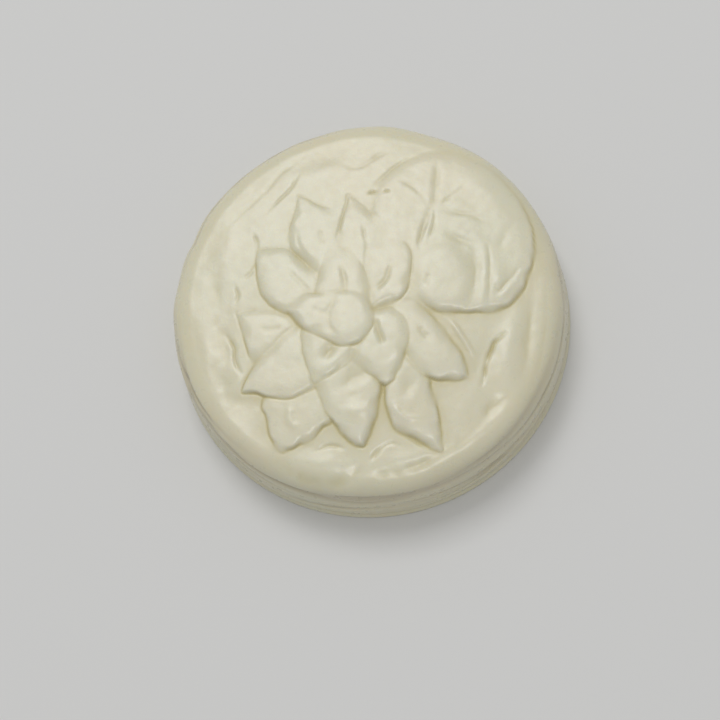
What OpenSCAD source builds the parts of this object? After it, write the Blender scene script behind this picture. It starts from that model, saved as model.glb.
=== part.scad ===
// A round puck of shaving soap: one solid casting with a drafted wall, a round shoulder and a
// domed face. A water lily, its round floating leaf and a few ripples stand in low relief on the face.
// +Z is up. The origin is the middle of the flat base that the puck rests on.

/* [Puck] */
// Diameter across the base
base_d = 76; // [60:1:96]
// Height of the wall, from the base to where the shoulder starts
wall_h = 9.5; // [6:0.5:16]
// How far the wall leans in over its height, so that the puck leaves its mould
draft = 0.7; // [0.2:0.1:1.5]
// Radius of the round shoulder between the wall and the face
shoulder_r = 4.5; // [3:0.5:7]
// Rise of the domed face above the top of the shoulder
dome_rise = 1.5; // [0.5:0.1:3]
// Radius of the small round along the edge of the base
foot_r = 0.6; // [0.2:0.1:1.5]

/* [Relief] */
// Size of the flower and leaf against the face, where 1 fills it
relief_fill = 1; // [0.75:0.05:1.05]
// How far the relief sits to the right of the middle of the face
relief_x = 0.3; // [-1:0.1:1]
// How far the relief sits above the middle of the face, towards +Y
relief_y = -1.1; // [-2:0.1:1]
// Height of the bud above the face
bud_rise = 2; // [1:0.1:3]
// Height of the inner ring of petals above the face
inner_rise = 1.7; // [0.8:0.1:2.6]
// Height of the outer ring of petals above the face
outer_rise = 1.4; // [0.6:0.1:2.2]
// Radius of the crowned top of a petal
crown_r = 32; // [24:1:60]
// Radius of the crease along the middle of a petal
crease_r = 0.7; // [0.4:0.1:1.2]
// Depth of that crease below the crown of the petal
crease_depth = 0.4; // [0.2:0.1:0.8]
// Height of the floating leaf above the face
leaf_rise = 0.8; // [0.4:0.1:1.4]
// Radius of the floating leaf
leaf_r = 16.3; // [12:0.1:18]
// Width of a vein's channel in the leaf
vein_w = 1; // [0.5:0.1:1.6]
// Depth of a vein's channel
vein_depth = 0.3; // [0.1:0.1:0.4]
// Radius of a ripple's groove in the face
ripple_r = 1.6; // [0.8:0.1:2.4]
// Depth of a ripple's groove
ripple_depth = 0.3; // [0.1:0.1:0.6]

/* [Hidden] */
$fn = 96;

// Radius at the base, at the top of the wall and at the middle of the shoulder's round
base_r = base_d / 2;
rim_r = base_r - draft;
shoulder_x = rim_r - shoulder_r;

// The dome is a sphere that meets the shoulder's round smoothly
top_h = wall_h + shoulder_r + dome_rise;
dome_r = (pow(shoulder_x, 2) + pow(top_h - wall_h, 2) - pow(shoulder_r, 2)) / (2 * dome_rise);
meet_r = dome_r * shoulder_x / (dome_r - shoulder_r);

// The relief is drawn for this radius of dome and grows with the real one
drawn_r = 33.7;
scale_r = relief_fill * meet_r / drawn_r;

// Petals: [root x, root y, tip x, tip y, width, ring, has a crease], with ring 0 outer, 1 inner, 2 bud
PETALS = [
    [-8, 0, -21.5, 12.5, 11, 0, false],
    [-7, 6, -14, 23, 9.5, 0, true],
    [-1, 6, -3.8, 23, 9, 0, true],
    [-15, -2, -25, -5, 6, 0, false],
    [-12, -5, -23.3, -16.6, 9.5, 0, false],
    [-10, -14, -15.6, -28.2, 9, 0, false],
    [-3, -9, 0.2, -27.4, 10.5, 0, true],
    [7, -12, 14.5, -28.4, 8.5, 0, false],
    [6, -1, 19.3, -14.3, 9.5, 0, true],
    [-5, 0, -5.8, 13, 8.5, 1, true],
    [2.2, -1, 5.2, 14, 8, 1, true],
    [-6, -3, -9.4, -15.2, 8, 1, false],
    [3, 1, 4.2, -15.6, 8.5, 1, true],
    [1.6, -0.8, -15.2, -0.8, 9, 2, false],
    [2.4, -2.8, -7.4, -2.6, 8.5, 2, false]
];

// Floating leaf: its middle, where its veins meet, and the far end of each vein
LEAF_AT = [15.6, 14.4];
VEIN_AT = [12.4, 19.6];
VEINS = [[13.2, 29], [19.5, 25], [23, 16.6], [6, 25.4], [5, 18], [10.4, 12]];
// The fold of the leaf that lies next to the flower: its middle and its radius
FOLD_AT = [14.2, 5.4];
FOLD_R = 6.4;

// Ripples: [middle x, middle y, radius, start angle, sweep]
RIPPLES = [
    [0, 0, 30.5, 118, 34],
    [2, 4, 26, 128, 22],
    [0, 0, 28.6, 200, 24],
    [42, -20, 20, 140, 30],
    [0, 0, 31.2, 286, 34],
    [-6, -33, 5.6, 60, 60]
];

// Height of the plain dome at a point on the face
function face_z(at) = top_h - dome_r + sqrt(pow(dome_r, 2) - pow(norm(at), 2));

// A drawn point at its place on this puck
function placed(x, y) = [x * scale_r + relief_x, y * scale_r + relief_y];

// Height of a ring of petals above the face
function ring_rise(ring) = ring == 0 ? outer_rise : ring == 1 ? inner_rise : bud_rise;

// Half of the puck's section, from the axis to the wall
module section() {
    polygon([[0, 0], [base_r - foot_r, 0], [base_r, foot_r], [rim_r, wall_h], [0, wall_h]]);
    translate([base_r - foot_r, foot_r]) circle(foot_r);
    translate([shoulder_x, wall_h]) circle(shoulder_r);
    intersection() {
        translate([0, top_h - dome_r]) circle(dome_r, $fn = 720);
        translate([0, wall_h]) square([meet_r, top_h]);
    }
}

module blank() {
    rotate_extrude() section();
}

// A pointed outline from the origin along +X, between two equal arcs
module leaf_outline(length, width) {
    arc_r = (pow(length, 2) + pow(width, 2)) / (4 * width);
    intersection() {
        translate([length / 2, arc_r - width / 2]) circle(arc_r);
        translate([length / 2, width / 2 - arc_r]) circle(arc_r);
    }
}

// A straight groove along +X, with a round bottom and its centre line on the origin
module groove(length, radius) {
    rotate([0, 90, 0]) cylinder(h = length, r = radius);
}

// One petal: a pointed block under a crowned top, with or without a crease along its middle
module petal(from, to, width, rise, creased) {
    run = to - from;
    length = norm(run);
    crown_z = face_z((from + to) / 2) + rise;
    translate([from.x, from.y, 0]) rotate(atan2(run.y, run.x)) difference() {
        intersection() {
            translate([0, 0, wall_h]) linear_extrude(top_h) leaf_outline(length, width);
            translate([length / 2, 0, crown_z - crown_r]) sphere(crown_r, $fn = 180);
        }
        if (creased)
            translate([length * 0.3, 0, crown_z + crease_r - crease_depth])
                groove(length * 0.35, crease_r);
    }
}

module flower() {
    for (p = PETALS)
        petal(placed(p[0], p[1]), placed(p[2], p[3]), p[4] * scale_r, ring_rise(p[5]), p[6]);
}

// The veins in plan: straight channels from where they meet to near the leaf's edge
module vein_plan() {
    from = placed(VEIN_AT.x, VEIN_AT.y);
    for (v = VEINS) {
        run = placed(v.x, v.y) - from;
        translate([from.x, from.y]) rotate(atan2(run.y, run.x))
            translate([0, -vein_w / 2]) square([norm(run), vein_w]);
    }
}

// A layer that follows the face and the shoulder, a given rise above them
module raised(rise) {
    translate([0, 0, rise]) blank();
}

// The leaf is such a layer inside a round outline, with its veins cut in from above
module floating_leaf() {
    at = placed(LEAF_AT.x, LEAF_AT.y);
    difference() {
        intersection() {
            translate([at.x, at.y, wall_h]) cylinder(h = top_h, r = leaf_r * scale_r);
            raised(leaf_rise);
            cylinder(h = 2 * top_h, r = rim_r - foot_r);
        }
        difference() {
            translate([0, 0, wall_h]) linear_extrude(top_h) vein_plan();
            raised(leaf_rise - vein_depth);
        }
    }
}

// The fold of the leaf beside the flower: a round pillow
module leaf_fold() {
    at = placed(FOLD_AT.x, FOLD_AT.y);
    intersection() {
        translate([at.x, at.y, wall_h]) cylinder(h = top_h, r = FOLD_R * scale_r);
        translate([at.x, at.y, face_z(at) + inner_rise - crown_r]) sphere(crown_r, $fn = 180);
    }
}

// One ripple: an arc of a round groove, pressed into the face
module ripple(at, radius, start, sweep) {
    middle = at + radius * [cos(start + sweep / 2), sin(start + sweep / 2)];
    translate([at.x, at.y, face_z(middle) + ripple_r - ripple_depth])
        rotate(start) rotate_extrude(angle = sweep) translate([radius, 0]) circle(ripple_r);
}

module soap_puck() {
    color("ivory") union() {
        difference() {
            blank();
            for (r = RIPPLES)
                ripple(placed(r[0], r[1]), r[2] * scale_r, r[3], r[4]);
        }
        floating_leaf();
        leaf_fold();
        flower();
    }
}

soap_puck();
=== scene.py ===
"""A puck of shaving soap: one ivory casting with a water lily and its leaf moulded on the face.

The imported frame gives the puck's outside sizes. The relief is drawn in millimetres over the face,
as outlines, creases and swells, and is then sculpted into one closed mesh.
"""

import logging
import math
from dataclasses import astuple, dataclass, field
from enum import Enum

import bpy
import numpy as np
from mathutils import Matrix, Vector


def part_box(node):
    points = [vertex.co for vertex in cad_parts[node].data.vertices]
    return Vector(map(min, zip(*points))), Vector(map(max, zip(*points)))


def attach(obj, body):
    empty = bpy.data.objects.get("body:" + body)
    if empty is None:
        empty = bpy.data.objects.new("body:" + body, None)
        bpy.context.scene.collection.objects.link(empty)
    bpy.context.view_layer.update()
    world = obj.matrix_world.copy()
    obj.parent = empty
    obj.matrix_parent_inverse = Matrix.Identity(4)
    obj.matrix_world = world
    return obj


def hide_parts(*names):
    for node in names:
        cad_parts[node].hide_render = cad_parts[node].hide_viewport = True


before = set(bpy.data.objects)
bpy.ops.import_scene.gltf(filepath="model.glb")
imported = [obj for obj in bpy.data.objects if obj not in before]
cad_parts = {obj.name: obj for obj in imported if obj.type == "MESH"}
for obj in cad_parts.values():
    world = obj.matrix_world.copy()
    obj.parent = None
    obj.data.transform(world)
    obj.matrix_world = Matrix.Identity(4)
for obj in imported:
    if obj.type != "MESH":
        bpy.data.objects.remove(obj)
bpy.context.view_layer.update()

LOG = logging.getLogger("soap_puck")
MM = 0.001

Point = tuple[float, float]
Line = tuple[tuple[float, ...], ...]
Part = tuple[slice, slice]
Wave = tuple[float, int, float]


class Seed(Enum):
    """One seed for each random pattern, so that every run makes the same puck."""

    WAVER_X = 1
    WAVER_X_FINE = 2
    WAVER_Y = 3
    WAVER_Y_FINE = 4
    GRIP = 5
    FACE_BROAD = 6
    FACE_MEDIUM = 7
    FACE_FINE = 8
    SHOULDER = 9
    STROKES = 11


def ease(t: np.ndarray) -> np.ndarray:
    """A smooth step from 0 to 1 as t goes from 0 to 1."""
    t = np.clip(t, 0.0, 1.0)
    return t * t * (3.0 - 2.0 * t)


def bell(away: np.ndarray, half: float) -> np.ndarray:
    """A smooth bump: 1 where away is 0, and nearly gone at twice the half width."""
    return np.exp(-((away / half) ** 2))


def waves(angle: np.ndarray, terms: tuple[Wave, ...]) -> np.ndarray:
    """A sum of waves round the puck, each given by its size, its count and its shift."""
    return sum(size * np.sin(count * angle + shift) for size, count, shift in terms)


def curve_through(points: Line, closed: bool, steps: int = 6) -> np.ndarray:
    """A smooth curve through given points. A point given twice makes a corner.

    Args:
        points: the points in order, in millimetres. Any further numbers are carried along.
        closed: whether the curve comes back to its first point.
        steps: straight steps between one point and the next.

    Returns:
        The curve's points, as an array of rows.
    """
    given = np.array(points, dtype=float)
    if closed:
        given = np.vstack([given[-1], given, given[0], given[1]])
    else:
        given = np.vstack([given[0], given, given[-1]])
    t = np.linspace(0.0, 1.0, steps, endpoint=False)[:, None]
    rows = []
    for a, b, c, d in zip(given, given[1:], given[2:], given[3:]):
        if np.allclose(b, c):
            continue
        into = np.zeros(len(b)) if np.allclose(a, b) else (c - a) / 2
        out = np.zeros(len(b)) if np.allclose(c, d) else (d - b) / 2
        cubic = (2 * t**3 - 3 * t**2 + 1) * b + (t**3 - 2 * t**2 + t) * into
        rows.append(cubic + (3 * t**2 - 2 * t**3) * c + (t**3 - t**2) * out)
    rows.append(given[-2][None, :])
    return np.vstack(rows)


@dataclass(frozen=True)
class Petal:
    """One moulded shape with an outline, such as a petal or the leaf.

    Each point of the outline is its place and how crisp the edge is there, from 0, where the shape
    runs smoothly into what lies round it, to 1. A point given twice is a sharp tip. The lift is its
    height above the plain face, the crown how far its middle bulges, and the lean its slope to the
    right and upwards. The line is the depth of the groove round it, and the walls are how wide a
    crisp edge and a soft edge are.
    """

    name: str
    outline: Line
    lift: float
    crown: float = 0.4
    lean: Point = (0.0, 0.0)
    line: float = 0.15
    crisp_wall: float = 0.42
    soft_wall: float = 4.5


@dataclass(frozen=True)
class Crease:
    """A soft groove along a line. A negative depth makes it a ridge."""

    points: Line
    depth: float
    width: float


@dataclass(frozen=True)
class Swell:
    """A broad round rise, or a hollow if its height is negative.

    It is given by its half lengths along and across, and by how far it is turned, in degrees.
    """

    middle: Point
    long: float
    wide: float
    turn: float
    height: float


@dataclass
class ReliefMap:
    """Heights above the plain face, on a square raster over the whole puck, in millimetres.

    The lines' waver and grip are random and smooth, each over the radius that is its grain.
    """

    half: float = 40.0
    step: float = 0.125
    waver_grain: float = 1.2
    waver_fine_grain: float = 0.5
    waver_fine_share: float = 0.4
    grip_grain: float = 0.9
    grip_middle: float = 0.85
    grip_limits: Point = (0.1, 1.3)
    petal_margin: float = 4.0
    pillow_reach: float = 1.5
    wall_outside: float = 0.25
    wall_eased: float = 0.6
    line_outside: float = 0.1
    line_half: float = 0.18
    crease_fade: float = 0.25
    crease_left: float = 0.25

    def __post_init__(self) -> None:
        """Starts a flat relief."""
        ticks = np.arange(-self.half, self.half + self.step / 2, self.step)
        self.x, self.y = np.meshgrid(ticks, ticks)
        self.height = np.zeros_like(self.x)
        self.grip = np.ones_like(self.x)

    def rough(self, radius: float, seed: Seed) -> np.ndarray:
        """Random unevenness, about 1 in size and smooth over a radius."""
        grain = self.soften(np.random.default_rng(seed.value).standard_normal(self.x.shape), radius)
        return grain / grain.std()

    def waver(self, seed: Seed, fine_seed: Seed) -> np.ndarray:
        """A broad random waver with a finer one on it."""
        fine = self.rough(self.waver_fine_grain, fine_seed)
        return self.rough(self.waver_grain, seed) + self.waver_fine_share * fine

    def loosen(self, wander: float, uneven: float) -> None:
        """Makes every line drawn from now on waver, and be crisper in some places than in others.

        Args:
            wander: how far lines stray.
            uneven: how much their crispness changes along the way.
        """
        self.x = self.x + wander * self.waver(Seed.WAVER_X, Seed.WAVER_X_FINE)
        self.y = self.y + wander * self.waver(Seed.WAVER_Y, Seed.WAVER_Y_FINE)
        change = uneven * self.rough(self.grip_grain, Seed.GRIP)
        self.grip = np.clip(self.grip_middle + change, *self.grip_limits)

    def window(self, line: np.ndarray, margin: float) -> Part:
        """The part of the raster around a line.

        Args:
            line: the line's points.
            margin: how far round the line the part reaches.

        Returns:
            The slices of its rows and its columns.
        """
        low = np.floor((line.min(axis=0) - margin + self.half) / self.step).astype(int)
        high = np.ceil((line.max(axis=0) + margin + self.half) / self.step).astype(int) + 1
        last = self.x.shape[0]
        low = np.clip(low, 0, last)
        high = np.clip(high, 0, last)
        return slice(low[1], high[1]), slice(low[0], high[0])

    def nearest(self, line: np.ndarray, part: Part) -> tuple[np.ndarray, np.ndarray]:
        """How each sample lies to a line.

        Args:
            line: the line's points.
            part: the window of the raster to measure in.

        Returns:
            The distance from the line, and the distance gone along it.
        """
        x, y = self.x[part], self.y[part]
        best = np.full(x.shape, np.inf)
        along = np.zeros(x.shape)
        gone = 0.0
        for (ax, ay), (bx, by) in zip(line, line[1:]):
            run_x, run_y = bx - ax, by - ay
            length = math.hypot(run_x, run_y)
            if length < 1e-9:
                continue
            t = np.clip(((x - ax) * run_x + (y - ay) * run_y) / length**2, 0.0, 1.0)
            gap = np.hypot(x - ax - t * run_x, y - ay - t * run_y)
            closer = gap < best
            best = np.where(closer, gap, best)
            along = np.where(closer, gone + t * length, along)
            gone += length
        return best, along

    def inside(self, line: np.ndarray, part: Part) -> np.ndarray:
        """Which samples lie inside a closed line.

        Args:
            line: the line's points.
            part: the window of the raster to look in.

        Returns:
            True for each sample inside the line.
        """
        x, y = self.x[part], self.y[part]
        odd = np.zeros(x.shape, dtype=bool)
        for (ax, ay), (bx, by) in zip(line, np.roll(line, -1, axis=0)):
            if ay == by:
                continue
            crossing = ((ay > y) != (by > y)) & (x < (bx - ax) * (y - ay) / (by - ay) + ax)
            odd ^= crossing
        return odd

    def lay(self, petal: Petal) -> None:
        """Lays a petal over what is already there: it hides the relief inside its outline.

        Args:
            petal: the shape to lay.
        """
        rows = curve_through(petal.outline, closed=True)
        line, crisp = rows[:, :2], np.clip(rows[:, 2], 0.0, 1.0)
        part = self.window(line, self.petal_margin)
        gap, along = self.nearest(line, part)
        inside = self.inside(line, part)
        depth_in = np.where(inside, gap, -gap)
        gone = np.concatenate([[0.0], np.cumsum(np.hypot(*np.diff(line, axis=0).T))])
        crisp = np.clip(np.interp(along, gone, crisp) * self.grip[part], 0.0, 1.0)
        wall = petal.crisp_wall * crisp + petal.soft_wall * (1.0 - crisp)
        pillow = petal.crown * (2.0 * self.soften(inside.astype(float), self.pillow_reach) - 1.0)
        off_x, off_y = self.x[part] - line[:, 0].mean(), self.y[part] - line[:, 1].mean()
        slope = off_x * petal.lean[0] + off_y * petal.lean[1]
        up_wall = depth_in / wall + self.wall_outside
        cover = 1.0 - (1.0 - np.clip(up_wall, 0.0, 1.0)) ** 2
        cover *= ease(up_wall / self.wall_eased)
        covered = self.height[part] * (1.0 - cover) + (petal.lift + pillow + slope) * cover
        pressed = petal.line * crisp * bell(depth_in + self.line_outside, self.line_half)
        self.height[part] = covered - pressed
        LOG.info("laid %s", petal.name)

    def press(self, crease: Crease) -> None:
        """Presses a crease into the relief, fading at both of its ends.

        Args:
            crease: the groove or ridge to press.
        """
        line = curve_through(crease.points, closed=False)
        part = self.window(line, margin=3.0 * crease.width)
        gap, along = self.nearest(line, part)
        total = np.hypot(*np.diff(line, axis=0).T).sum()
        reach = self.crease_fade * total
        fade = ease(along / reach) * ease((total - along) / reach)
        fade = self.crease_left + (1.0 - self.crease_left) * fade
        self.height[part] -= crease.depth * fade * self.grip[part] * bell(gap, crease.width)

    def swell(self, bump: Swell) -> None:
        """Adds a broad rise or hollow.

        Args:
            bump: the rise to add.
        """
        turn = math.radians(bump.turn)
        dx, dy = self.x - bump.middle[0], self.y - bump.middle[1]
        u = dx * math.cos(turn) + dy * math.sin(turn)
        v = dy * math.cos(turn) - dx * math.sin(turn)
        self.height += bump.height * bell(u, bump.long) * bell(v, bump.wide)

    def soften(self, values: np.ndarray, radius: float) -> np.ndarray:
        """Softens raster values.

        Args:
            values: a value for each sample.
            radius: how far each value spreads, in millimetres.

        Returns:
            The softened values.
        """
        reach = int(math.ceil(3 * radius / self.step))
        taps = np.exp(-0.5 * (np.arange(-reach, reach + 1) * self.step / radius) ** 2)
        taps /= taps.sum()
        for axis in (0, 1):
            edge = [(reach, reach) if k == axis else (0, 0) for k in (0, 1)]
            padded = np.pad(values, edge, mode="edge")
            count = values.shape[axis]
            values = sum(w * np.take(padded, range(k, k + count), axis=axis) for k, w in enumerate(taps))
        return values

    def blurred(self, radius: float) -> np.ndarray:
        """The heights, softened over a radius."""
        return self.soften(self.height, radius)

    def sample(self, values: np.ndarray, x: np.ndarray, y: np.ndarray) -> np.ndarray:
        """Reads raster values at any places, between the samples.

        Args:
            values: a value for each sample of the raster.
            x, y: the places, in millimetres.

        Returns:
            The value at each place.
        """
        last = values.shape[0] - 1.001
        u = np.clip((x + self.half) / self.step, 0, last)
        v = np.clip((y + self.half) / self.step, 0, last)
        i, j = u.astype(int), v.astype(int)
        s, t = u - i, v - j
        top = values[j, i] * (1 - s) + values[j, i + 1] * s
        low = values[j + 1, i] * (1 - s) + values[j + 1, i + 1] * s
        return top * (1 - t) + low * t


@dataclass(frozen=True)
class WaterRipples:
    """The moving water round the flower: creases and swells on the plain face."""

    swells: tuple[Swell, ...] = (
        Swell((27.2, -9.6), 6, 2.3, 80, 0.5),
        Swell((22, -11), 4, 1.6, 75, -0.15),
        Swell((18.6, -21), 5, 2.6, 62, 0.2),
        Swell((25.6, -25), 7.5, 2.4, 45, 0.3),
        Swell((-7.5, -30.8), 5, 1.9, -12, 0.25),
        Swell((8, -29.8), 4.4, 1.8, 8, 0.2),
        Swell((-24.5, -22.5), 5.5, 2.6, -48, 0.3),
        Swell((-27.5, 12), 5, 2.2, 80, 0.25),
        Swell((-21, 17.6), 4, 2.2, 50, 0.08),
        Swell((-9, 28), 5, 2.2, 12, 0.2),
        Swell((-24.6, -15), 3, 1.4, 70, 0.2),
        Swell((-30, -10), 7, 1.6, 108, 0.2),
        Swell((-21.8, -26), 5, 1.6, -40, 0.2),
        Swell((30.6, -6), 6, 1, 82, -0.25),
        Swell((-6, 18), 3, 1.6, 80, 0.2),
    )
    creases: tuple[Crease, ...] = (
        Crease(((-4.8, 29.7), (-3.2, 29), (-1.6, 29.3), (0.2, 30.3), (2.2, 31.7), (4.4, 32.5)),
               0.12, 0.45),
        Crease(((-19.8, 19.8), (-17.6, 22.4), (-15.4, 25), (-13.8, 28)), 0.14, 0.3),
        Crease(((-28, 17.2), (-24.6, 20.4), (-21.2, 23.8), (-17.6, 28.2), (-13, 32)), 0.1, 0.45),
        Crease(((-25.5, 4.6), (-25.1, 2.8), (-25.7, 1.2)), 0.15, 0.3),
        Crease(((-24, 6.3), (-22.6, 7.6), (-21.6, 9.6)), 0.12, 0.35),
        Crease(((-22.4, 15.6), (-21.7, 13.6), (-21.6, 11.6)), 0.15, 0.35),
        Crease(((-26.6, -5.2), (-25.4, -7.6), (-25.1, -9.6), (-23.8, -12.6)), 0.3, 0.4),
        Crease(((-27, -1), (-27.4, -7), (-28.4, -12.4), (-25.6, -17.6), (-19.6, -19.4)), 0.2, 1.5),
        Crease(((-8.9, -27.9), (-7.2, -27.3), (-5.6, -27.2), (-4, -27.9)), 0.22, 0.4),
        Crease(((0.8, -30.4), (2.2, -29), (3.6, -27.6), (5.2, -27), (6.6, -27.3)), 0.2, 0.4),
        Crease(((-16.5, -30), (-11.6, -33), (-6, -34.2), (-2, -32.6), (1, -30.4)), 0.2, 1.2),
        Crease(((1, -33.6), (6, -32.6), (11, -30.8), (14.8, -29)), 0.25, 1),
        Crease(((14.8, -29.2), (18, -25.8), (21.4, -22.4), (24.6, -19.6), (28, -17.4)), 0.22, 1.3),
        Crease(((22, -15.8), (22.7, -12.6), (23.6, -9.6), (24.7, -7.3), (26.6, -5.7)), 0.42, 0.36),
        Crease(((33.6, 8), (34.1, 2), (34, -4), (33, -10), (31.2, -16)), 0.1, 0.4),
        Crease(((15.4, -2.6), (17.6, -5.2), (19.4, -8), (20.8, -10.4)), -0.3, 0.4),
        Crease(((15, -22.6), (15.3, -27.6)), -0.15, 0.4),
        Crease(((-29.2, 9), (-29.6, 3), (-29, -4)), 0.12, 1.2),
    )
    pits: tuple[Swell, ...] = (
        Swell((0.7, 23.6), 0.7, 0.3, 15, -0.3),
        Swell((3.6, 23.8), 0.5, 0.25, -10, -0.3),
    )


@dataclass(frozen=True)
class LilyLeaf:
    """The round floating leaf behind the flower, with its fold, its veins and its notch."""

    blade: Petal = Petal("leaf", (
        (12.6, -0.4, 0.6), (16.6, -1.5, 0.8), (20.4, -1.6, 0.8), (24.2, -1.3, 0.9), (28.6, 1, 0.9),
        (31.2, 6.4, 0.9), (31.8, 13, 0.8), (29.2, 21.4, 0.4), (22.6, 28.8, 0.1), (13, 32.4, 0.1),
        (4.4, 28.4, 0.3), (0.4, 21, 0), (3, 9, 0),
    ), lift=0.45, crown=0.28, lean=(0.012, -0.018), line=0.12, crisp_wall=0.6, soft_wall=3.5)
    fold: Petal = Petal("fold", (
        (9, 1.4, 0.1), (8.6, 5, 0), (9.2, 8.8, 0), (11.2, 12, 0), (14, 13.4, 0.1), (17, 12.8, 0.3),
        (19.4, 10.2, 0.4), (20.4, 7, 0.5), (20.6, 3.2, 0.6), (19.8, 0.2, 0.6), (17.4, -1.4, 0.6),
        (13.2, -0.8, 0.5),
    ), lift=0.74, crown=0.3, lean=(0.005, -0.02), line=0.05, crisp_wall=0.9)
    swells: tuple[Swell, ...] = (
        Swell((22.2, 4), 4.6, 0.9, 88, 0.16),
        Swell((25, 4.6), 1.8, 1.2, 60, 0.25),
        Swell((20.9, 7), 4.2, 1, 98, -0.2),
        Swell((17.8, 13.2), 2.6, 0.9, 150, -0.22),
    )
    veins: tuple[Crease, ...] = (
        Crease(((12.6, 20), (13, 23), (13.3, 26), (13.4, 29.6)), 0.14, 0.7),
        Crease(((13.8, 20.4), (16.4, 22.4), (19.2, 25.2)), 0.09, 0.35),
        Crease(((13.4, 19.8), (17, 18.6), (20, 17.8), (23, 16.4)), 0.1, 0.6),
        Crease(((11.6, 20.8), (10, 22.9), (8.4, 24.6), (6, 25.8)), 0.1, 0.45),
        Crease(((10.6, 20), (8, 19.2), (5, 17.8)), 0.07, 0.6),
        Crease(((12, 19.6), (11.2, 17), (10.6, 14.6), (10.2, 11.6)), 0.22, 0.5),
        Crease(((12.9, 19.2), (12.9, 17), (12.5, 15), (11.9, 13.4)), 0.12, 0.3),
        Crease(((12.6, 19), (12, 16.4), (11.5, 14.4)), -0.1, 0.3),
        Crease(((23.2, 11.6), (23.5, 8), (23.5, 4.6), (23.2, 1)), 0.16, 0.35),
        Crease(((24.6, 3.4), (25.2, 2.8), (26.8, 4.4), (28.8, 6.8)), 0.25, 0.35),
        Crease(((28, 17.6), (26.8, 14.4), (25.6, 11.4)), 0.1, 0.8),
        Crease(((0.6, 24.6), (3, 27), (5.4, 29.2), (7.8, 30.7)), 0.1, 0.35),
        Crease(((11.9, 6.4), (11.8, 5), (11.2, 3.4)), 0.12, 0.6),
        Crease(((24.8, 1), (27.4, 3), (29.4, 6)), -0.15, 0.8),
    )


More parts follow.
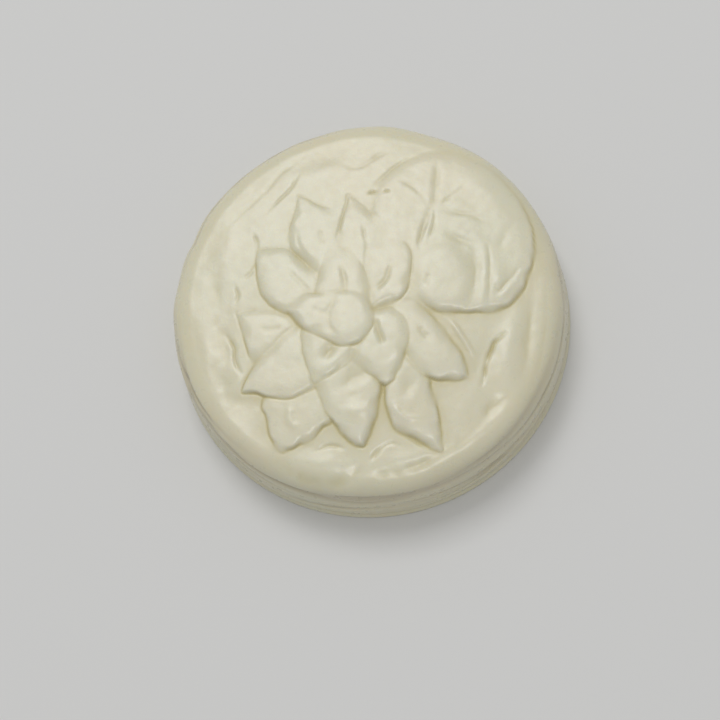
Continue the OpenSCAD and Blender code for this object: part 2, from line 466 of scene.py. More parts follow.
@dataclass(frozen=True)
class LilyFlower:
    """The water lily: an outer and an inner ring of petals round a closed bud."""

    petals: tuple[Petal, ...] = (
        Petal("heart", (
            (-13, -9, 0), (-14.5, 2, 0), (-9, 12, 0), (0, 15, 0), (8, 10, 0), (12, 0, 0), (11, -9, 0),
            (4, -16, 0), (-5, -17.5, 0), (-11, -16, 0),
        ), lift=0.45, crown=0.12, line=0, soft_wall=7),
        Petal("upper_left", (
            (-13.9, 23.2, 0.6), (-13.9, 23.2, 0.6), (-12, 22.7, 0.9), (-9.6, 21.2, 0.9), (-7, 20, 0.1),
            (-5, 17, 0.1), (-4, 12, 0), (-4, 7, 0), (-7.5, 5, 0), (-10.2, 7.6, 0.2), (-12, 9.4, 0.5),
            (-13.8, 11.2, 0.5), (-15.1, 13.2, 0.3), (-15.4, 15.6, 0.3), (-14.7, 18.2, 0.9),
            (-14.2, 20.6, 0.9),
        ), lift=0.32, crown=0.14, lean=(-0.005, -0.03)),
        Petal("upper", (
            (-3.9, 23.2, 0.7), (-3.9, 23.2, 0.7), (-1.6, 21.4, 0.5), (0.6, 19.4, 0.5), (3, 17.4, 0.2),
            (4.2, 14.8, 0.1), (3, 12, 0), (1.2, 9, 0), (0.2, 6, 0), (-1.6, 5, 0), (-4, 9, 0.1),
            (-5.6, 13, 0), (-5.4, 15.6, 0.7), (-4.9, 18, 0.9), (-4.3, 20.6, 0.9),
        ), lift=0.35, crown=0.16, lean=(0, -0.03)),
        Petal("left", (
            (-21.6, 12.2, 0.6), (-21.6, 12.2, 0.6), (-18, 12.3, 0.7), (-15.2, 12, 0.4), (-12.8, 9.6, 0.3),
            (-9.8, 7, 0.2), (-7.6, 4.2, 0), (-8, 0, 0), (-14.6, -1.4, 0.4), (-17.6, -0.1, 0.8),
            (-19.4, 1.7, 1), (-20.8, 4, 1), (-21.4, 7, 1), (-21.6, 9.6, 1),
        ), lift=0.42, crown=0.2, lean=(0.01, -0.035)),
        Petal("left_small", (
            (-25.2, -0.6, 0.8), (-25.2, -0.6, 0.8), (-22, -0.3, 0.4), (-19, -0.5, 0.3),
            (-16.8, -0.9, 0.3), (-14, -2, 0.2), (-13, -5, 0), (-17, -9, 0), (-20.6, -10.6, 0.1),
            (-22.4, -9.2, 0.7), (-22.4, -9.2, 0.7), (-23, -7.2, 1), (-23.8, -4.6, 1), (-24.5, -2.4, 1),
        ), lift=0.35, crown=0.12, line=0.16, lean=(0, -0.02)),
        Petal("lower_left", (
            (-15.6, -28.4, 1), (-15.6, -28.4, 1), (-13.8, -27.7, 0.9), (-12, -26.9, 0.8),
            (-10.2, -26.4, 0.7), (-8.9, -25, 0.7), (-7.9, -23.6, 0.7), (-6.6, -22.9, 0.5),
            (-4.6, -21, 0.2), (-4.4, -17, 0), (-8, -14.6, 0), (-14, -14, 0), (-18, -15.6, 0.1),
            (-19.5, -19.2, 0.8), (-18.9, -21, 1), (-18.2, -23.3, 1), (-17.4, -25.8, 1), (-16.6, -27.6, 1),
        ), lift=0.55, crown=0.2, lean=(0.01, -0.03)),
        Petal("left_lower", (
            (-23.4, -16.7, 1), (-23.4, -16.7, 1), (-20.6, -16.9, 0.9), (-18.4, -17.6, 0.9),
            (-16, -18.1, 0.9), (-14, -18.1, 0.8), (-12, -17.3, 0.6), (-10, -16.4, 0.4),
            (-7.6, -14.4, 0.1), (-7.5, -9, 0), (-9, -4, 0), (-13, -3.6, 0.1), (-16.4, -6, 0.2),
            (-18.4, -7.9, 0.2), (-20.4, -10, 0.3), (-22, -12.6, 0.5), (-22.9, -14.8, 0.9),
        ), lift=0.7, crown=0.22, lean=(0.012, -0.04), soft_wall=3),
        Petal("lower_right", (
            (14.6, -28.6, 1), (14.6, -28.6, 1), (14.4, -26, 1), (14.2, -23.5, 1), (13.9, -21, 1),
            (13.4, -18.8, 0.9), (12.7, -16.8, 0.9), (12.2, -14.4, 0.6), (11.4, -10, 0.1), (6, -9, 0),
            (4.2, -12.6, 0.1), (3.8, -16.4, 0.6), (4.3, -19.6, 0.9), (4.9, -22, 0.9), (5.6, -23.9, 0.6),
            (8, -25.2, 0.5), (10.6, -26.7, 0.5), (13, -28, 0.7),
        ), lift=0.72, crown=0.3, lean=(-0.02, -0.02)),
        Petal("bottom", (
            (0.1, -27.5, 1), (0.1, -27.5, 1), (0.9, -26, 0.8), (1.6, -24, 0.7), (2.3, -21.5, 0.7),
            (2.8, -19, 0.7), (3.1, -16.8, 0.7), (3.2, -13.6, 0.3), (2, -9, 0), (-3, -7.5, 0),
            (-8, -10, 0), (-9.8, -14, 0.4), (-9.2, -16.2, 0.9), (-8, -18.7, 1), (-6.8, -21.3, 1),
            (-5, -24, 1), (-3.4, -25.9, 0.9), (-1.8, -27.1, 0.9),
        ), lift=0.82, crown=0.32, lean=(0, -0.035), crisp_wall=0.6),
        Petal("right_lower", (
            (19.4, -14.3, 0.9), (19.4, -14.3, 0.9), (19, -12, 0.7), (18, -9.6, 0.6), (16.6, -7.4, 0.6),
            (15.1, -5.3, 0.6), (13.6, -3.3, 0.6), (11.8, -1.5, 0.5), (9, 0.6, 0.2), (4.5, 0, 0),
            (4.6, -6, 0), (7.2, -9.4, 0.3), (8.8, -11.4, 0.7), (10.2, -13.1, 0.8), (11.7, -14.2, 0.9),
            (13.6, -14.8, 1), (16, -14.9, 1), (18, -14.8, 1),
        ), lift=0.72, crown=0.3, lean=(-0.005, -0.035)),
        Petal("inner_right", (
            (1.5, 12.8, 0), (4.5, 13.4, 0), (7.4, 12.8, 0.7), (8.5, 10, 0.8), (8.6, 7, 0.8),
            (8.1, 4, 0.8), (7, 1.7, 0.8), (4.6, 0.2, 0.4), (1, -1.6, 0), (0.4, 2, 0), (0.1, 5.5, 0.1),
            (-0.2, 9, 0.3), (0.2, 11.6, 0.1),
        ), lift=0.74, crown=0.14, lean=(0.03, -0.03)),
        Petal("inner_left", (
            (-6, 12.3, 0.2), (-3.8, 11.5, 0.4), (-1.8, 9.6, 0.5), (-0.4, 7.5, 0.5), (0.5, 5, 0.4),
            (0.8, 0.5, 0.1), (-4, -1, 0), (-9, 0, 0), (-9.8, 3, 0.4), (-9.2, 6, 0.5), (-8.7, 8.7, 0.4),
            (-7.7, 11, 0.2),
        ), lift=0.78, crown=0.18, lean=(0, -0.04)),
        Petal("front_left", (
            (-9.5, -15.3, 1), (-9.5, -15.3, 1), (-8, -14.3, 0.8), (-6.3, -13.4, 0.7), (-4.6, -12.3, 0.7),
            (-2.4, -10.7, 0.6), (-0.5, -8, 0.1), (-3, -4, 0), (-10, -3, 0), (-12.2, -4.6, 0.5),
            (-11.9, -8, 0.8), (-11.6, -10, 0.9), (-10.9, -12, 1), (-10.2, -13.8, 1),
        ), lift=1.05, crown=0.2, lean=(0.012, -0.035), crisp_wall=0.55),
        Petal("front_right", (
            (4.3, -15.7, 0.8), (5.5, -15, 0.8), (6.1, -13.8, 0.7), (6.9, -12, 0.7), (7.5, -10, 0.7),
            (8, -8, 0.7), (8.2, -6, 0.7), (8, -4, 0.6), (6.8, -2.2, 0.5), (4.6, -0.4, 0.3),
            (0.5, -0.5, 0), (-2, -5, 0), (-2.6, -10.4, 0.5), (-1, -12.2, 0.6), (0.6, -13.5, 0.7),
            (2.2, -14.4, 0.7), (3.2, -15.3, 0.8),
        ), lift=1.1, crown=0.26, lean=(0.012, -0.03), crisp_wall=0.55),
        Petal("bud", (
            (-15.3, -0.5, 0.5), (-15.3, -0.5, 0.5), (-13.5, -2.8, 0.7), (-11.8, -4.6, 0.8),
            (-9.5, -5.8, 0.8), (-7.5, -6.8, 0.8), (-5.8, -7.7, 0.8), (-3.5, -8.1, 0.8), (-1.3, -7.6, 0.8),
            (0.3, -6.4, 0.7), (1.3, -4.8, 0.6), (1.7, -2.6, 0.5), (1.4, -0.4, 0.4), (0.3, 1.3, 0.3),
            (-1.5, 2.4, 0.2), (-3.5, 3, 0.2), (-6, 2.5, 0.5), (-9, 2.4, 0.7), (-11.5, 2.4, 0.3),
            (-13.6, 1.3, 0.1),
        ), lift=1.28, crown=0.16, lean=(0, -0.03), crisp_wall=0.55),
        Petal("bud_lobe", (
            (-5.8, 1.9, 0.2), (-3.6, 2.8, 0.3), (-1.4, 2.2, 0.3), (0.2, 1, 0.3), (1.3, -0.8, 0.4),
            (1.6, -3, 0.5), (1.1, -5, 0.6), (-0.6, -6.8, 0.6), (-3.2, -7.8, 0.5), (-5.8, -7.2, 0.1),
            (-7.2, -5, 0), (-7.2, -2.4, 0.1), (-6.4, 0.2, 0.3),
        ), lift=1.42, crown=0.2, lean=(0, -0.03), line=0.08, crisp_wall=0.6, soft_wall=3),
    )
    creases: tuple[Crease, ...] = (
        Crease(((-9.3, 16), (-8.9, 14.4), (-8.5, 12.4)), 0.12, 0.4),
        Crease(((-13.9, 15.4), (-13.4, 13.2), (-12, 10.9), (-10.2, 9)), 0.12, 0.4),
        Crease(((-14.6, 12.2), (-12.6, 10.2), (-10.6, 8.4), (-9.4, 6.8)), 0.2, 0.8),
        Crease(((-0.9, 16.6), (-0.5, 14.5), (-0.1, 12.6), (-0.2, 10.4)), 0.2, 0.32),
        Crease(((-5.2, 8.8), (-4.5, 6.6), (-4, 4.6), (-3.9, 2.4)), 0.14, 0.5),
        Crease(((4.9, 8.8), (4.3, 6.6), (3.4, 4.6), (1.6, 2.6)), 0.18, 0.5),
        Crease(((-14.8, 7.6), (-13.2, 5.6), (-12, 4), (-10.6, 2.8)), 0.12, 0.6),
        Crease(((-20.4, -4), (-18.4, -4.3), (-16, -3.9)), 0.08, 0.5),
        Crease(((-10.4, -0.6), (-8.8, -1.2), (-7, -2.2)), 0.12, 0.6),
        Crease(((-5.9, 1.2), (-7, -1.2), (-6.9, -3.8), (-5.4, -6)), 0.1, 0.5),
        Crease(((2.1, -2.2), (2.4, -4.5), (3, -6.4), (3.8, -8.6)), 0.28, 0.6),
        Crease(((10.2, -4.3), (11, -5.7), (12.2, -6.8)), 0.12, 0.5),
        Crease(((-2.5, -12), (-2.4, -15), (-2, -19)), 0.1, 0.9),
        Crease(((5.4, -24.2), (8, -25.4), (10.6, -26.9), (13.4, -28.4)), 0.25, 0.4),
        Crease(((5.8, -19.5), (6.4, -21.4), (8, -22.2), (10.2, -22.4)), -0.2, 0.6),
        Crease(((-14, -19.4), (-14.2, -21.2), (-13.6, -23), (-12.2, -24.2)), -0.15, 0.7),
    )
    hollows: tuple[Swell, ...] = (
        Swell((-6.8, -9.2), 1.9, 1.1, 55, -0.4),
        Swell((2.6, 5), 2.2, 1.2, 70, -0.15),
        Swell((3, -0.4), 2.2, 1, 20, -0.3),
        Swell((-0.8, -20.6), 2.6, 1.2, 0, 0.2),
        Swell((-1.6, -14.4), 2.6, 1.3, 30, -0.25),
        Swell((8.4, -16.2), 2.2, 1.3, 80, -0.2),
        Swell((6, -11), 2, 1, 60, 0.12),
    )


@dataclass(frozen=True)
class Casting:
    """The plain puck's section, in millimetres."""

    base_r: float
    top_h: float
    wall_h: float = 9.5
    draft: float = 0.7
    shoulder_r: float = 4.5
    dome_rise: float = 1.5
    foot_r: float = 0.6

    @property
    def shoulder_x(self) -> float:
        """Distance of the shoulder's centre from the axis."""
        return self.base_r - self.draft - self.shoulder_r

    @property
    def dome_h(self) -> float:
        """Height of the plain dome at the axis."""
        return self.wall_h + self.shoulder_r + self.dome_rise

    @property
    def dome_r(self) -> float:
        """Radius of the dome's sphere, which meets the shoulder smoothly."""
        rise = self.dome_h - self.wall_h
        return (self.shoulder_x**2 + rise**2 - self.shoulder_r**2) / (2 * self.dome_rise)

    @property
    def meet_r(self) -> float:
        """Distance from the axis at which the dome meets the shoulder."""
        return self.dome_r * self.shoulder_x / (self.dome_r - self.shoulder_r)

    def face(self, r: np.ndarray) -> np.ndarray:
        """The dome at given distances from the axis.

        Args:
            r: the distances.

        Returns:
            Rows of radius, height and outward normal (radial, up), one for each distance.
        """
        lean = r / self.dome_r
        level = np.sqrt(1.0 - lean**2)
        return np.column_stack([r, self.dome_h - self.dome_r * (1.0 - level), lean, level])

    def edge(self, counts: tuple[int, int, int, int]) -> np.ndarray:
        """The section from the dome's edge to the middle of the base.

        Args:
            counts: rings on the shoulder, the wall, the foot's round and the base.

        Returns:
            Rows of radius, height and outward normal (radial, up), one for each ring.
        """
        shoulder, wall, foot, base = counts
        rows = []
        start = math.asin(self.meet_r / self.dome_r)
        for k in range(1, shoulder + 1):
            a = start + (math.pi / 2 - start) * k / shoulder
            r = self.shoulder_x + self.shoulder_r * math.sin(a)
            rows.append((r, self.wall_h + self.shoulder_r * math.cos(a), math.sin(a), math.cos(a)))
        for k in range(1, wall + 1):
            t = k / wall
            r = self.base_r - self.draft * (1 - t)
            rows.append((r, self.wall_h + (self.foot_r - self.wall_h) * t, 1.0, 0.0))
        for k in range(1, foot + 1):
            a = math.pi / 2 * k / foot
            r = self.base_r - self.foot_r * (1 - math.cos(a))
            rows.append((r, self.foot_r * (1 - math.sin(a)), math.cos(a), -math.sin(a)))
        for k in range(1, base + 1):
            r = (self.base_r - self.foot_r) * (1 - k / (base + 1)) ** 1.5
            rows.append((r, 0.0, 0.0, -1.0))
        return np.array(rows)


@dataclass(frozen=True)
class Stroke:
    """One stroke of the blade along the wall.

    The middle and the reach are angles round the puck, in radians. The level, the depth and the
    thickness are in millimetres, and the tilt is the millimetres it climbs in one radian.
    """

    middle: float
    reach: float
    level: float
    tilt: float
    depth: float
    thick: float

    def at(self, angle: np.ndarray, z: np.ndarray) -> np.ndarray:
        """Depth of the stroke at places on the wall, by their angles and their heights."""
        off = (angle - self.middle + math.pi) % (2 * math.pi) - math.pi
        return self.depth * bell(off, self.reach) * bell(z - self.level - self.tilt * off, self.thick)


@dataclass(frozen=True)
class TrimmedWall:
    """The marks of trimming the wall by hand: a waist, strokes of the blade, a rim and one kink.

    Lengths are in millimetres, and angles round the puck in radians.
    """

    fades_from: float = 34.0
    fades_over: float = 3.0
    foot_rise: float = 9.0
    waist_z: float = 9.5
    waist_half: float = 0.7
    waist_depth: float = 0.4
    waist_wander: float = 1.2
    waist_waves: tuple[Wave, ...] = ((0.5, 2, 1.3), (0.35, 5, 0.4), (0.12, 13, 0.0))
    held_least: float = 0.25
    held_middle: float = 0.6
    held_waves: tuple[Wave, ...] = ((0.6, 3, 0.6), (0.4, 8, 2.0))
    strokes: int = 64
    least_stroke: Stroke = Stroke(-math.pi, 0.1, 1.8, -3.0, 0.1, 0.22)
    most_stroke: Stroke = Stroke(math.pi, 0.45, 12.4, 3.0, 0.42, 0.5)
    front_strokes: tuple[Stroke, ...] = (
        Stroke(-0.70, 0.55, 11.6, 0.8, 0.30, 0.8),
        Stroke(-1.35, 0.40, 10.6, -1.5, 0.35, 0.6),
        Stroke(-0.35, 0.40, 9.0, 1.5, 0.35, 0.5),
        Stroke(-2.0, 0.5, 10.2, 1.2, 0.30, 0.5),
    )
    rim_z: float = 1.7
    rim_half: float = 0.6
    rim_depth: float = 0.4
    kink_at: float = 2.75
    kink_half: float = 0.07
    kink_depth: float = 0.35
    trim: float = 0.02
    slow_depth: float = 0.12
    slow_waves: tuple[Wave, ...] = ((0.25, 2, 0.7), (0.25, 3, 2.1))

    def amount(self, r: np.ndarray, up: np.ndarray) -> np.ndarray:
        """How much the puck is trimmed, from 0 on its face and its base to 1 on the wall."""
        return ease((r - self.fades_from) / self.fades_over) * ease(up * self.foot_rise)

    def streaks(self, angle: np.ndarray, z: np.ndarray) -> np.ndarray:
        """Depth of the waist and of all the strokes.

        Args:
            angle: angles round the puck.
            z: heights, in millimetres.

        Returns:
            The depths, in millimetres.
        """
        wander = self.waist_wander * waves(angle, self.waist_waves)
        held = ease(self.held_middle + waves(angle, self.held_waves))
        held = self.held_least + (1.0 - self.held_least) * held
        depth = self.waist_depth * held * bell(z - self.waist_z - wander, self.waist_half)
        chance = np.random.default_rng(Seed.STROKES.value)
        for _ in range(self.strokes):
            stroke = Stroke(*chance.uniform(astuple(self.least_stroke), astuple(self.most_stroke)))
            depth += stroke.at(angle, z)
        for stroke in self.front_strokes:
            depth += stroke.at(angle, z)
        return depth

    def unevenness(self, angle: np.ndarray, z: np.ndarray) -> np.ndarray:
        """How far the trimmed wall lies inside its true round, apart from its streaks.

        Args:
            angle: angles round the puck.
            z: heights, in millimetres.

        Returns:
            The depths, in millimetres.
        """
        slow = self.slow_depth * (0.5 + waves(angle, self.slow_waves))
        rim = self.rim_depth * bell(z - self.rim_z, self.rim_half)
        kink = self.kink_depth * bell(angle - self.kink_at, self.kink_half)
        return self.trim + slow + rim + kink


@dataclass(frozen=True)
class PaintedShading:
    """Where painted shade darkens the soap to yellow in a groove and to grey in a wall streak, and
    painted light pales it on a crest.

    Each depth or height is the one that gives the full tint.
    """

    near: float = 0.3
    near_depth: float = 0.1
    far: float = 1.4
    far_depth: float = 0.4
    share: float = 0.6
    crest_height: float = 0.3
    streak_depth: float = 0.45

    def marks(self, relief: ReliefMap, x: np.ndarray, y: np.ndarray,
              streaks: np.ndarray) -> tuple[np.ndarray, ...]:
        """How much painted shade each place gets in a groove, painted light on a crest and painted shade
        in a streak.

        Args:
            relief: the finished relief.
            x, y: places on the mould, in millimetres.
            streaks: depth of the wall's streaks at each place.

        Returns:
            The painted groove shade, crest light and streak shade at each place, from 0 up.
        """
        near = relief.blurred(self.near) - relief.height
        far = relief.blurred(self.far) - relief.height
        sunk = np.clip(near / self.near_depth, 0, 1) + np.clip(far / self.far_depth, 0, 1)
        groove = relief.sample(sunk * self.share, x, y)
        crest = relief.sample(np.clip(-far / self.crest_height, 0, 1), x, y)
        return groove, crest, streaks / self.streak_depth


@dataclass
class SoapPuck:
    """The whole puck: sculpts the relief into one closed mesh and dresses it.

    The blank is a square sheet of cells with a skirt of rings. The sheet becomes a patch with round
    sides in the middle of the face, and the skirt becomes the rest.
    """

    casting: Casting
    wall: TrimmedWall = TrimmedWall()
    # Painted shading: painted shade in grooves and wall streaks, painted light on crests.
    painted_shading: PaintedShading = PaintedShading()
    relief: ReliefMap = field(default_factory=ReliefMap)
    cells: int = 168
    patch: float = 21.0
    patch_round: float = 0.6
    face_rings: int = 52
    edge_rings: tuple[int, int, int, int] = (16, 28, 4, 4)
    mould_scale: float = 0.978
    mould_shift: Point = (0.3, -1.15)
    wander: float = 0.1
    uneven: float = 0.3
    grains: tuple[tuple[float, float, Seed], ...] = (
        (0.016, 2.4, Seed.FACE_BROAD), (0.012, 0.9, Seed.FACE_MEDIUM), (0.004, 0.35, Seed.FACE_FINE),
    )
    shoulder_grain: Point = (0.13, 3.6)
    shoulder_from: float = 28.0
    shoulder_over: float = 5.0
    fillet: float = 0.1
    headroom: float = 0.03
    relief_below: float = 1.0
    relief_over: float = 3.5
    # Rise above the wall over which the painted groove shade and crest light fade in.
    shading_over: float = 3.0

    def draw_relief(self) -> None:
        """Draws the water, the leaf and the flower on the relief, lowest first."""
        water, leaf, flower = WaterRipples(), LilyLeaf(), LilyFlower()
        relief = self.relief
        relief.loosen(self.wander, self.uneven)
        self.add(water.swells + water.creases + (leaf.blade, leaf.fold) + leaf.swells + leaf.veins)
        self.add(water.pits + flower.petals + flower.creases + flower.hollows)
        for size, radius, seed in self.grains:
            relief.height += size * relief.rough(radius, seed)
        size, radius = self.shoulder_grain
        out = ease((np.hypot(relief.x, relief.y) - self.shoulder_from) / self.shoulder_over)
        relief.height += size * relief.rough(radius, Seed.SHOULDER) * out
        relief.height = relief.blurred(self.fillet)
        room = self.casting.top_h - self.casting.dome_h - self.headroom
        relief.height *= min(1.0, room / relief.height.max())

    def add(self, shapes: tuple[Petal | Crease | Swell, ...]) -> None:
        """Adds shapes to the relief, each over those before it.

        Args:
            shapes: petals, creases and swells, in order.
        """
        ways = {Petal: self.relief.lay, Crease: self.relief.press, Swell: self.relief.swell}
        for shape in shapes:
            ways[type(shape)](shape)

    def blank(self) -> bpy.types.Object:
        """A fine square sheet with a straight skirt, ready to be sculpted into the puck.

        Returns:
            The blank, whose rings lie one unit apart below the sheet.
        """
        bpy.ops.object.select_all(action="DESELECT")
        bpy.ops.mesh.primitive_grid_add(x_subdivisions=self.cells, y_subdivisions=self.cells, size=2.0)
        piece = bpy.context.object
        piece.name = piece.data.name = "puck_of_soap"
        bpy.ops.object.mode_set(mode="EDIT")
        bpy.ops.mesh.select_all(action="SELECT")
        bpy.ops.mesh.region_to_loop()
        for _ in range(self.face_rings + sum(self.edge_rings)):
            bpy.ops.mesh.extrude_edges_move(TRANSFORM_OT_translate={"value": (0.0, 0.0, -1.0)})
        bpy.ops.mesh.edge_face_add()
        bpy.ops.object.mode_set(mode="OBJECT")
        return piece

    def on_mould(self, x: np.ndarray, y: np.ndarray) -> tuple[np.ndarray, np.ndarray]:
        """Where places on the puck lie on the mould, whose picture sits a little off the middle."""
        across, up = self.mould_shift
        return (x - across) / self.mould_scale, (y - up) / self.mould_scale

    def on_face(self, u: np.ndarray, v: np.ndarray, ring: np.ndarray) -> tuple[np.ndarray, np.ndarray]:
        """Spreads the sheet and the rings of the face out in plan.

        Args:
            u, v: the blank's points, from -1 to 1 across the sheet.
            ring: how many rings each point lies below the sheet.

        Returns:
            The places across and up from the axis, in millimetres. Rings past the face stay at its rim.
        """
        squeeze = self.patch_round / 2
        x = self.patch * u * np.sqrt(1 - squeeze * v**2)
        y = self.patch * v * np.sqrt(1 - squeeze * u**2)
        wide = np.abs(u) >= np.abs(v)
        share = np.where(wide, v / np.where(wide, u, 1.0), u / np.where(wide, 1.0, v)) * math.pi / 4
        turn = np.where(wide, share + np.where(u < 0, math.pi, 0.0),
                        math.pi / 2 - share + np.where(v < 0, math.pi, 0.0))
        t = np.clip(ring / self.face_rings, 0.0, 1.0)
        rim = self.casting.meet_r
        x = np.where(ring > 0, x * (1 - t) + rim * np.cos(turn) * t, x)
        y = np.where(ring > 0, y * (1 - t) + rim * np.sin(turn) * t, y)
        return x, y

    def sculpt(self, piece: bpy.types.Object) -> None:
        """Moves every point of the blank to its place on the puck.

        Args:
            piece: the blank.
        """
        mesh = piece.data
        flat = np.empty(len(mesh.vertices) * 3)
        mesh.vertices.foreach_get("co", flat)
        u, v, drop = flat.reshape(-1, 3).T
        ring = np.rint(-drop).astype(int)
        x, y = self.on_face(u, v, ring)
        angle = np.arctan2(y, x)
        edge = self.casting.edge(self.edge_rings)[np.clip(ring - self.face_rings - 1, 0, None)]
        on_edge = (ring > self.face_rings)[:, None]
        r, z, n_r, n_z = np.where(on_edge, edge, self.casting.face(np.hypot(x, y))).T
        on_mould = self.on_mould(r * np.cos(angle), r * np.sin(angle))
        relief = self.relief.sample(self.relief.height, *on_mould)
        relief *= ease((z - self.casting.wall_h + self.relief_below) / self.relief_over)
        amount = self.wall.amount(r, z / self.casting.wall_h)
        streaks = self.wall.streaks(angle, z) * amount
        r = r + n_r * relief - streaks - self.wall.unevenness(angle, z) * amount
        z = z + n_z * relief
        x, y = r * np.cos(angle), r * np.sin(angle)
        mesh.vertices.foreach_set("co", (np.column_stack([x, y, z]) * MM).ravel())
        # Painted shade in grooves and wall streaks and painted light on crests, kept as attributes for
        # the soap's colour.
        on_top = ease((z - self.casting.wall_h) / self.shading_over)
        groove, crest, streak = self.painted_shading.marks(self.relief, *self.on_mould(x, y), streaks)
        for name, values in (("groove", groove * on_top), ("crest", crest * on_top), ("streak", streak)):
            layer = mesh.attributes.new(name, "FLOAT", "POINT")
            layer.data.foreach_set("value", np.clip(values, 0, 1).astype(np.float32))
        mesh.update()

    def build(self) -> bpy.types.Object:
        """Makes the finished puck.

        Returns:
            The object, at the origin, with its place in its mesh.
        """
        self.draw_relief()
        piece = self.blank()
        self.sculpt(piece)
        bpy.ops.object.mode_set(mode="EDIT")
        bpy.ops.mesh.select_all(action="SELECT")
        bpy.ops.mesh.normals_make_consistent(inside=False)
        bpy.ops.object.mode_set(mode="OBJECT")
        bpy.ops.object.shade_smooth()
        piece.data.materials.append(SoapFinish().material())
        return piece


class Signal:
    """A value in a shader. Python's operators on it add Math nodes."""

    def __init__(self, graph: "Graph", socket: bpy.types.NodeSocket) -> None:
        """Wraps an output socket of a node in the graph."""
        self.graph = graph
        self.socket = socket

    def math(self, operation: str, first: "Signal | float", second: "Signal | float") -> "Signal":
        """A Math node of two values."""
        return self.graph.node("ShaderNodeMath", {"operation": operation}, {0: first, 1: second})

    def __add__(self, other: "Signal | float") -> "Signal":
        """self + other."""
        return self.math("ADD", self, other)

    def __radd__(self, other: float) -> "Signal":
        """other + self."""
        return self.math("ADD", other, self)

    def __sub__(self, other: "Signal | float") -> "Signal":
        """self - other."""
        return self.math("SUBTRACT", self, other)

    def __rsub__(self, other: float) -> "Signal":
        """other - self."""
        return self.math("SUBTRACT", other, self)

    def __mul__(self, other: "Signal | float") -> "Signal":
        """self * other."""
        return self.math("MULTIPLY", self, other)

    def __rmul__(self, other: float) -> "Signal":
        """other * self."""
        return self.math("MULTIPLY", other, self)


class Graph:
    """The node tree of one material."""

    def __init__(self, name: str) -> None:
        """Starts a material with an empty tree.

        Args:
            name: the material's name.
        """
        self.material = bpy.data.materials.new(name)
        self.material.use_nodes = True
        self.tree = self.material.node_tree
        self.tree.nodes.clear()

    def node(self, kind: str, settings: dict, inputs: dict, output: int | str = 0) -> Signal:
        """Adds a node.

        Args:
            kind: the node's type.
            settings: its properties, which are set first.
            inputs: a value or a Signal for each socket, by name or number.
            output: the output that is wanted.

        Returns:
            That output, as a Signal.
        """
        made = self.tree.nodes.new(kind)
        for name, value in settings.items():
            setattr(made, name, value)
        for key, value in inputs.items():
            if isinstance(value, Signal):
                self.tree.links.new(value.socket, made.inputs[key])
            else:
                made.inputs[key].default_value = value
        return Signal(self, made.outputs[output])

    def attribute(self, name: str) -> Signal:
        """A value that is stored in the piece's points."""
        return self.node("ShaderNodeAttribute", {"attribute_name": name}, {}, output="Fac")

    def noise(self, place: Signal, scale: float, detail: float) -> Signal:
        """Soft cloudy noise over the piece, from 0 to 1."""
        inputs = {"Vector": place, "Scale": scale, "Detail": detail}
        return self.node("ShaderNodeTexNoise", {}, inputs, output="Fac")

    def spread(self, value: Signal, low: float, high: float) -> Signal:
        """Stretches a range of values to 0 to 1."""
        inputs = {"Value": value, "From Min": low, "From Max": high}
        return self.node("ShaderNodeMapRange", {}, inputs, output="Result")

    def mix(self, amount: Signal, a: "Signal | tuple", b: "Signal | tuple") -> Signal:
        """A colour that goes from a to b with the amount."""
        return self.node("ShaderNodeMix", {"data_type": "RGBA"}, {0: amount, 6: a, 7: b}, output=2)

    def surface(self, inputs: dict) -> bpy.types.Material:
        """Finishes the material with a surface.

        Args:
            inputs: the surface's sockets, as for any node.

        Returns:
            The material.
        """
        shader = self.node("ShaderNodeBsdfPrincipled", {}, inputs)
        out = self.tree.nodes.new("ShaderNodeOutputMaterial")
        self.tree.links.new(shader.socket, out.inputs["Surface"])
        return self.material


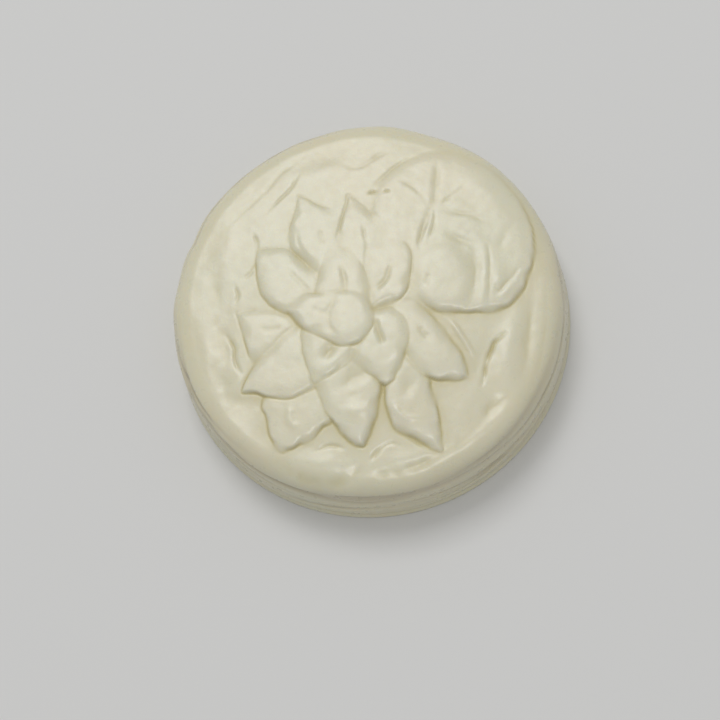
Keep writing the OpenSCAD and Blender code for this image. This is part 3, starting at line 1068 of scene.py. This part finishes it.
@dataclass(frozen=True)
class SoapFinish:
    """Ivory milled soap: waxy, slightly see-through, yellower where thin; painted shade in grooves and
    streaks, painted light on crests.
    """

    cool: tuple[float, ...] = (0.71, 0.69, 0.52, 1.0)
    warm: tuple[float, ...] = (0.73, 0.68, 0.50, 1.0)
    # Painted shade: the darker yellow put into grooves.
    groove_shade: tuple[float, ...] = (0.57, 0.50, 0.25, 1.0)
    # Painted light: the paler colour put on crests.
    pale: tuple[float, ...] = (0.78, 0.77, 0.66, 1.0)
    # Painted shade: the darker grey put into the wall's streaks.
    streak_shade: tuple[float, ...] = (0.50, 0.435, 0.31, 1.0)
    # How strongly the painted groove shade, crest light and streak shade are mixed in.
    groove_tint: float = 0.9
    crest_tint: float = 0.35
    streak_tint: float = 0.6
    roughness: float = 0.3
    bump: float = 0.28
    bump_depth: float = 0.1 * MM
    glow: float = 0.35
    glow_colour: tuple[float, ...] = (1.0, 0.8, 0.45)
    glow_depth: float = 0.45 * MM
    coat: float = 0.16
    coat_roughness: float = 0.24
    ior: float = 1.46

    def material(self) -> bpy.types.Material:
        """Builds the material.

        Returns:
            A material whose colour, roughness and fine bump vary over the soap.
        """
        g = Graph("ivory_soap")
        place = g.node("ShaderNodeTexCoord", {}, {}, output="Object")
        groove = g.attribute("groove")
        patches = g.noise(place, scale=55.0, detail=3.0)
        mottle = g.noise(place, scale=700.0, detail=2.5)
        skin = g.noise(place, scale=2000.0, detail=1.0)
        body = g.mix(g.spread(patches + 0.5 * mottle + 0.5 * skin, 0.75, 1.25), self.cool, self.warm)
        # Painted shade darkens the grooves.
        groove_shaded = g.mix(groove * self.groove_tint, body, self.groove_shade)
        # Painted light pales the crests.
        crest_lit = g.mix(g.attribute("crest") * self.crest_tint, groove_shaded, self.pale)
        # Painted shade greys the wall's streaks.
        colour = g.mix(g.attribute("streak") * self.streak_tint, crest_lit, self.streak_shade)
        height = 0.7 * mottle + 0.3 * skin
        bump = {"Strength": self.bump, "Distance": self.bump_depth, "Height": height}
        return g.surface({
            "Base Color": colour,
            "Roughness": self.roughness + 0.2 * (mottle - 0.5) + 0.1 * groove,
            "Normal": g.node("ShaderNodeBump", {}, bump),
            "Subsurface Weight": self.glow,
            "Subsurface Radius": self.glow_colour,
            "Subsurface Scale": self.glow_depth,
            "IOR": self.ior,
            "Coat Weight": self.coat,
            "Coat Roughness": self.coat_roughness,
        })


class Lamp(Enum):
    """The studio's soft lights: place, size, power and how strongly they show in reflections."""

    KEY = ((-0.30, 0.78, 1.52), 0.75, 9.7, 0.3)
    OVERHEAD = ((0.06, -0.14, 1.2), 0.12, 1.5, 2.4)


@dataclass(frozen=True)
class Studio:
    """A plain pale floor, soft light and the camera."""

    azimuth: float = 21.0
    elevation: float = 71.0
    roll: float = 21.0
    distance: float = 400 * MM
    target: tuple[float, float, float] = (-2.49 * MM, -6.73 * MM, 0.0)
    lens: float = 103.8
    sensor: float = 36.0
    clip: Point = (0.01, 10.0)
    floor_size: float = 3.0
    floor_colour: tuple[float, ...] = (0.72, 0.72, 0.71, 1.0)
    floor_roughness: float = 0.85
    world_light: float = 0.42

    def floor(self) -> bpy.types.Object:
        """A matt pale floor under the puck.

        Returns:
            The floor.
        """
        bpy.ops.object.select_all(action="DESELECT")
        bpy.ops.mesh.primitive_plane_add(size=self.floor_size, location=(0.0, 0.0, 0.0))
        floor = bpy.context.object
        floor.name = "floor"
        matt = {"Base Color": self.floor_colour, "Roughness": self.floor_roughness}
        floor.data.materials.append(Graph("pale_floor").surface(matt))
        return floor

    def light(self) -> None:
        """Hangs the soft lights and sets an even pale surrounding."""
        for lamp in Lamp:
            place, size, power, shine = lamp.value
            bpy.ops.object.light_add(type="AREA", location=place)
            light = bpy.context.object
            light.name = f"{lamp.name.lower()}_light"
            light.data.size = size
            light.data.energy = power
            light.data.specular_factor = shine
            light.rotation_mode = "QUATERNION"
            light.rotation_quaternion = (-Vector(place)).to_track_quat("-Z", "Y")
            LOG.info("%s: %.1f W", light.name, power)
        world = bpy.data.worlds.new("studio")
        world.use_nodes = True
        background = world.node_tree.nodes["Background"]
        background.inputs["Color"].default_value = (1.0, 1.0, 1.0, 1.0)
        background.inputs["Strength"].default_value = self.world_light
        bpy.context.scene.world = world

    def camera(self) -> None:
        """Sets the camera above the face, rolled so that the flower stands upright."""
        a, e, r = (math.radians(v) for v in (self.azimuth, self.elevation, self.roll))
        back = Vector((math.sin(a) * math.cos(e), -math.cos(a) * math.cos(e), math.sin(e)))
        level = Vector((math.cos(a), math.sin(a), 0.0))
        rise = back.cross(level)
        right = level * math.cos(r) - rise * math.sin(r)
        up = level * math.sin(r) + rise * math.cos(r)
        bpy.ops.object.camera_add(location=Vector(self.target) + back * self.distance)
        camera = bpy.context.object
        camera.name = "studio_camera"
        camera.rotation_mode = "QUATERNION"
        camera.rotation_quaternion = Matrix((right, up, back)).transposed().to_quaternion()
        camera.data.lens = self.lens
        camera.data.sensor_width = self.sensor
        camera.data.clip_start, camera.data.clip_end = self.clip
        bpy.context.scene.camera = camera


def main() -> None:
    """Builds the puck and the studio."""
    logging.basicConfig(level=logging.INFO, format="%(name)s: %(message)s")
    studio = Studio()
    studio.camera()
    floor = studio.floor()
    studio.light()
    bpy.context.scene.view_settings.view_transform = "Standard"
    low, high = (np.array(corner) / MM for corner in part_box("soap_puck"))
    casting = Casting(base_r=float(high[0] - low[0]) / 2, top_h=float(high[2]))
    puck = SoapPuck(casting).build()
    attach(puck, "root")
    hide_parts("soap_puck")
    for piece in (floor, puck):
        mesh = piece.data
        LOG.info("%s: %d points, %d faces", piece.name, len(mesh.vertices), len(mesh.polygons))


if __name__ == "__main__":
    main()
